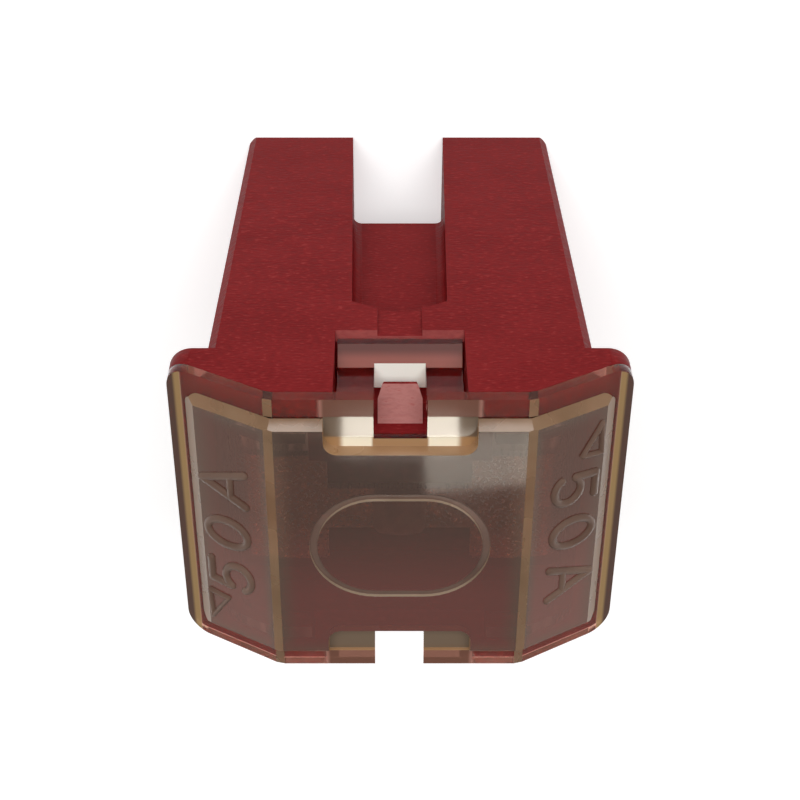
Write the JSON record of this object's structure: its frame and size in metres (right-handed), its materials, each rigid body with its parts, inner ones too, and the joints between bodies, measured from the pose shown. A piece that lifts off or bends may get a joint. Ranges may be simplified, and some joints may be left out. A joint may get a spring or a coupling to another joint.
{
  "type": "fuse",
  "caption": "Slow-blow cartridge fuse: a forked red housing with a blade socket in each leg and a clear gabled cover, latched on over the fusible strip.",
  "frame": {"origin": "middle of the footprint at the leg tips", "axes": "+Z from the leg tips up to the cover, X from leg to leg, Y through the broad faces with the pictured face at -Y"},
  "size_m": [0.0152, 0.0114, 0.0195],
  "materials": {
    "red_housing": "fine-grained moulded red nylon",
    "clear_cover": "clear moulded plastic with a smoky amber tint",
    "tinned_strip": "satin tin plating on rolled copper alloy",
    "tin_bead": "dull cast tin"
  },
  "bodies": {
    "root": {"housing": "red_housing", "cover": "clear_cover", "fuse_strip": "tinned_strip", "melt_bead": "tin_bead"}
  },
  "joints": []
}
